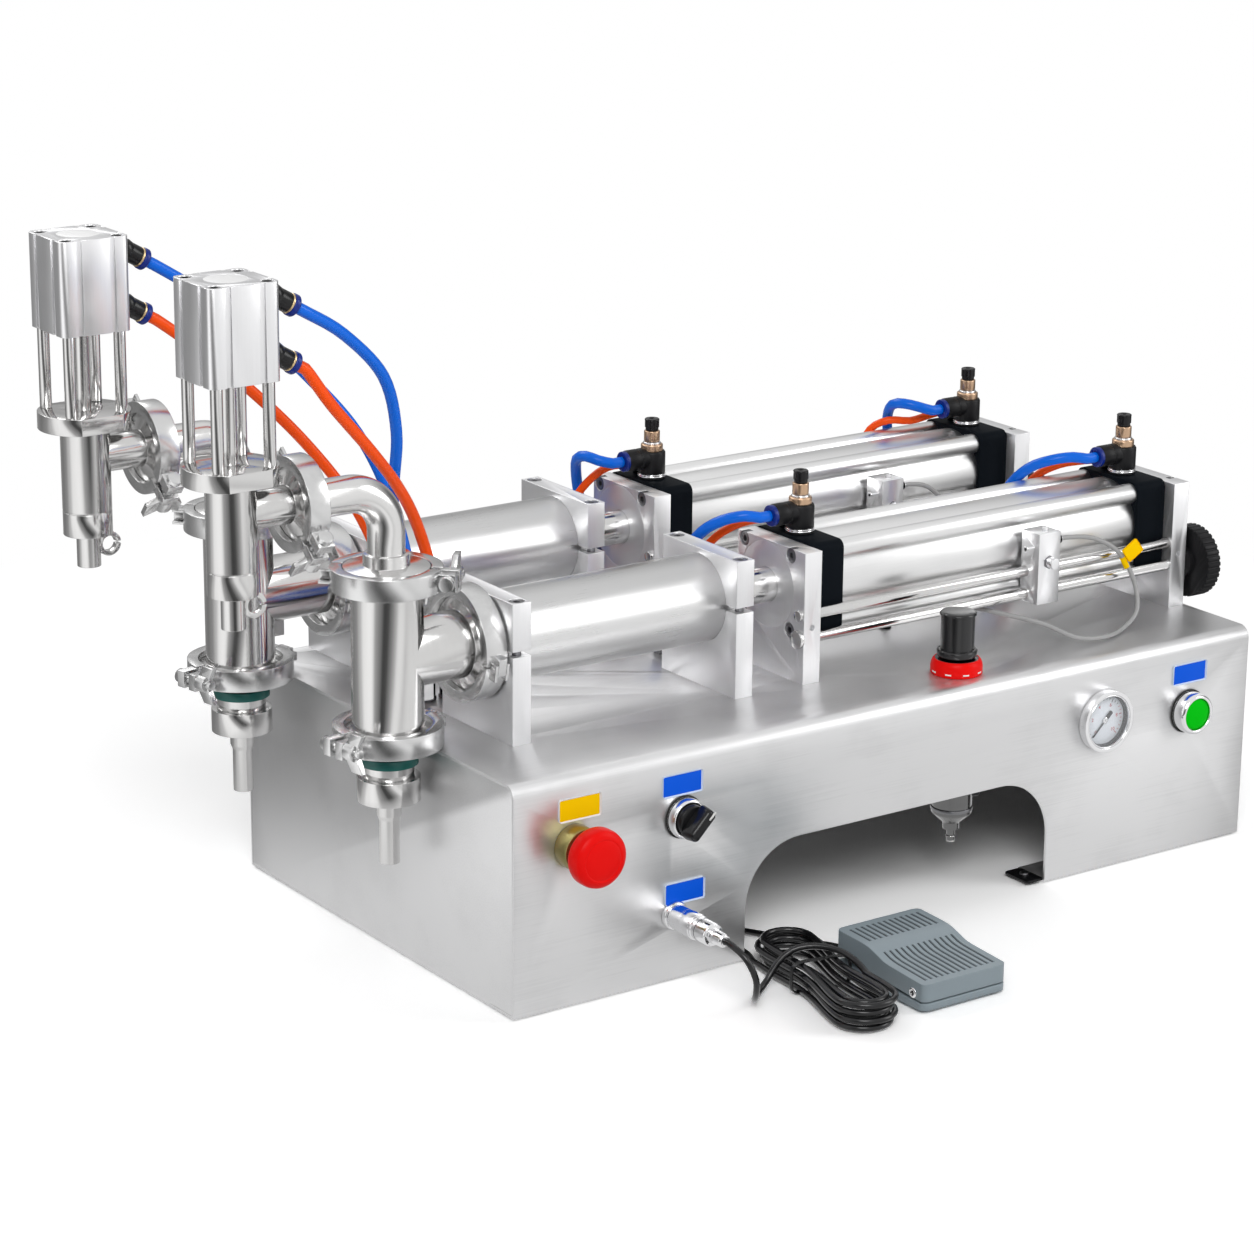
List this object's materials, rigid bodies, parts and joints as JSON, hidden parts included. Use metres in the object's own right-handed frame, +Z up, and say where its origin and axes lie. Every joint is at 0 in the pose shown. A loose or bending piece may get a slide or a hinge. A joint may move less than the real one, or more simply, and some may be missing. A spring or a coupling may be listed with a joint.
{
  "type": "two-head piston filling machine",
  "caption": "Bench-top air-driven piston filler: product cylinders with check valves and lifting nozzles on a folded sheet housing, with a panel, a foot switch and its bundled cord.",
  "frame": {"origin": "on the floor, under the middle of the machine with its foot switch, without the cord", "axes": "+X along the cylinders from the nozzles to the hand wheels, +Y from the front panel to the rear, +Z up"},
  "size_m": [0.8396, 0.5141, 0.4892],
  "materials": {
    "housing": "brushed stainless sheet",
    "plates": "ground stainless plate",
    "stainless": "polished stainless steel",
    "metal": "clear anodised aluminium",
    "dark_metal": "black anodised end cap",
    "chrome": "chromed",
    "screws": "dark steel",
    "brass": "dull brass",
    "black": "black moulded plastic",
    "red": "red plastic",
    "green": "green plastic",
    "grey": "grey plastic",
    "blue_grey": "blue-grey moulded plastic",
    "white": "white sealing plastic",
    "rubber": "black rubber",
    "cord": "black cord jacket",
    "tube": "blue air tube",
    "glass": "clear lens"
  },
  "bodies": {
    "machine": {"cover_shell": "housing", "left_end_panel": "housing", "right_end_panel": "housing", "rubber_feet": "rubber", "socket_screws": "screws", "estop_base": "brass", "switch_bezels": "chrome", "gauge_case": "chrome", "gauge_lens": "glass", "regulator_body": "metal", "regulator_ring": "red", "pedal_socket": "chrome", "pedal_plug": "chrome", "solenoid_valves": "metal", "control_box": "grey", "rear_inlets": "metal", "air_fittings": "black", "pedal_base": "blue_grey", "pedal_pivot": "screws", "cord_lead": "cord", "cord_hank": "cord", "cord_tail": "cord", "cord_tie": "cord", "clamp_plates": "plates", "cylinder_plates": "plates", "barrels": "stainless", "cylinder_tubes": "metal", "cylinder_caps": "dark_metal", "guide_rods": "stainless", "front_sensor_cable": "grey", "rear_sensor_cable": "grey", "flow_controls": "black", "valve_bodies": "stainless", "check_valves": "white", "elbow_pipes": "stainless", "tri_clamps": "stainless", "inlet_spouts": "stainless", "gaskets": "white", "nozzle_bodies": "stainless", "nozzle_cylinders": "metal", "nozzle_rods": "stainless", "air_tubes": "tube"},
    "estop_head": {"estop_head": "red"},
    "selector_knob": {"selector_knob": "black"},
    "start_button": {"start_button": "green"},
    "gauge_pointer": {"gauge_pointer": "black"},
    "regulator_knob": {"regulator_knob": "black"},
    "pedal_treadle": {"pedal_treadle": "blue_grey"},
    "front_piston": {"front_piston": "stainless"},
    "rear_piston": {"rear_piston": "stainless"},
    "front_adjusting_wheel": {"front_adjusting_wheel": "black"},
    "rear_adjusting_wheel": {"rear_adjusting_wheel": "black"},
    "front_sensor_bracket": {"front_sensor_bracket": "metal"},
    "rear_sensor_bracket": {"rear_sensor_bracket": "metal"},
    "front_left_flow_knob": {"front_left_flow_knob": "black"},
    "front_right_flow_knob": {"front_right_flow_knob": "black"},
    "rear_left_flow_knob": {"rear_left_flow_knob": "black"},
    "rear_right_flow_knob": {"rear_right_flow_knob": "black"},
    "front_plunger": {"front_plunger": "stainless"},
    "rear_plunger": {"rear_plunger": "stainless"}
  },
  "joints": [
    {"name": "estop_press", "type": "slide", "parent": "machine", "child": "estop_head", "axis": [0, 1, 0], "range_m": [0, 0.005]},
    {"name": "selector_turn", "type": "hinge", "parent": "machine", "child": "selector_knob", "pos_m": [-0.10575, -0.1135, 0.116], "axis": [0, 1, 0], "range_deg": [0, 90]},
    {"name": "start_press", "type": "slide", "parent": "machine", "child": "start_button", "axis": [0, 1, 0], "range_m": [0, 0.004], "stiffness_N_per_m": 500, "springref_m": -0.002},
    {"name": "gauge_sweep", "type": "hinge", "parent": "machine", "child": "gauge_pointer", "pos_m": [0.26535, -0.1135, 0.1157], "axis": [0, 1, 0], "range_deg": [0, 270], "stiffness_Nm_per_rad": 0.0001},
    {"name": "regulator_turn", "type": "hinge", "parent": "machine", "child": "regulator_knob", "pos_m": [0.15475, -0.0795, 0.17], "axis": [0, 0, 1], "range_deg": [-540, 540]},
    {"name": "treadle_press", "type": "hinge", "parent": "machine", "child": "pedal_treadle", "pos_m": [0.02575, -0.2415, 0.0125], "axis": [-1, 0, 0], "range_deg": [0, 4], "stiffness_Nm_per_rad": 2, "springref_deg": -3.44},
    {"name": "front_piston_stroke", "type": "slide", "parent": "machine", "child": "front_piston", "axis": [1, 0, 0], "range_m": [0, 0.14]},
    {"name": "front_wheel_turn", "type": "hinge", "parent": "machine", "child": "front_adjusting_wheel", "pos_m": [0.41125, -0.039, 0.194], "axis": [1, 0, 0], "range_deg": [-1800, 1800]},
    {"name": "front_bracket_slide", "type": "slide", "parent": "machine", "child": "front_sensor_bracket", "axis": [1, 0, 0], "range_m": [-0.04, 0.04], "deforming": ["front_sensor_cable"]},
    {"name": "rear_piston_stroke", "type": "slide", "parent": "machine", "child": "rear_piston", "axis": [1, 0, 0], "range_m": [0, 0.14]},
    {"name": "rear_wheel_turn", "type": "hinge", "parent": "machine", "child": "rear_adjusting_wheel", "pos_m": [0.41125, 0.141, 0.194], "axis": [1, 0, 0], "range_deg": [-1800, 1800]},
    {"name": "rear_bracket_slide", "type": "slide", "parent": "machine", "child": "rear_sensor_bracket", "axis": [1, 0, 0], "range_m": [-0.04, 0.04], "deforming": ["rear_sensor_cable"]},
    {"name": "front_left_flow_turn", "type": "hinge", "parent": "machine", "child": "front_left_flow_knob", "pos_m": [0.07325, -0.001, 0.2945], "axis": [0, 0, 1], "range_deg": [-720, 720]},
    {"name": "front_right_flow_turn", "type": "hinge", "parent": "machine", "child": "front_right_flow_knob", "pos_m": [0.37575, -0.001, 0.2945], "axis": [0, 0, 1], "range_deg": [-720, 720]},
    {"name": "rear_left_flow_turn", "type": "hinge", "parent": "machine", "child": "rear_left_flow_knob", "pos_m": [0.07325, 0.179, 0.2945], "axis": [0, 0, 1], "range_deg": [-720, 720]},
    {"name": "rear_right_flow_turn", "type": "hinge", "parent": "machine", "child": "rear_right_flow_knob", "pos_m": [0.37575, 0.179, 0.2945], "axis": [0, 0, 1], "range_deg": [-720, 720]},
    {"name": "front_plunger_lift", "type": "slide", "parent": "machine", "child": "front_plunger", "axis": [0, 0, 1], "range_m": [0, 0.012]},
    {"name": "rear_plunger_lift", "type": "slide", "parent": "machine", "child": "rear_plunger", "axis": [0, 0, 1], "range_m": [0, 0.012]}
  ],
  "couplings": [
    {"joint": "front_bracket_slide", "follows": "front_wheel_turn", "m_per_rad": 0.0012732},
    {"joint": "rear_bracket_slide", "follows": "rear_wheel_turn", "m_per_rad": 0.0012732}
  ]
}
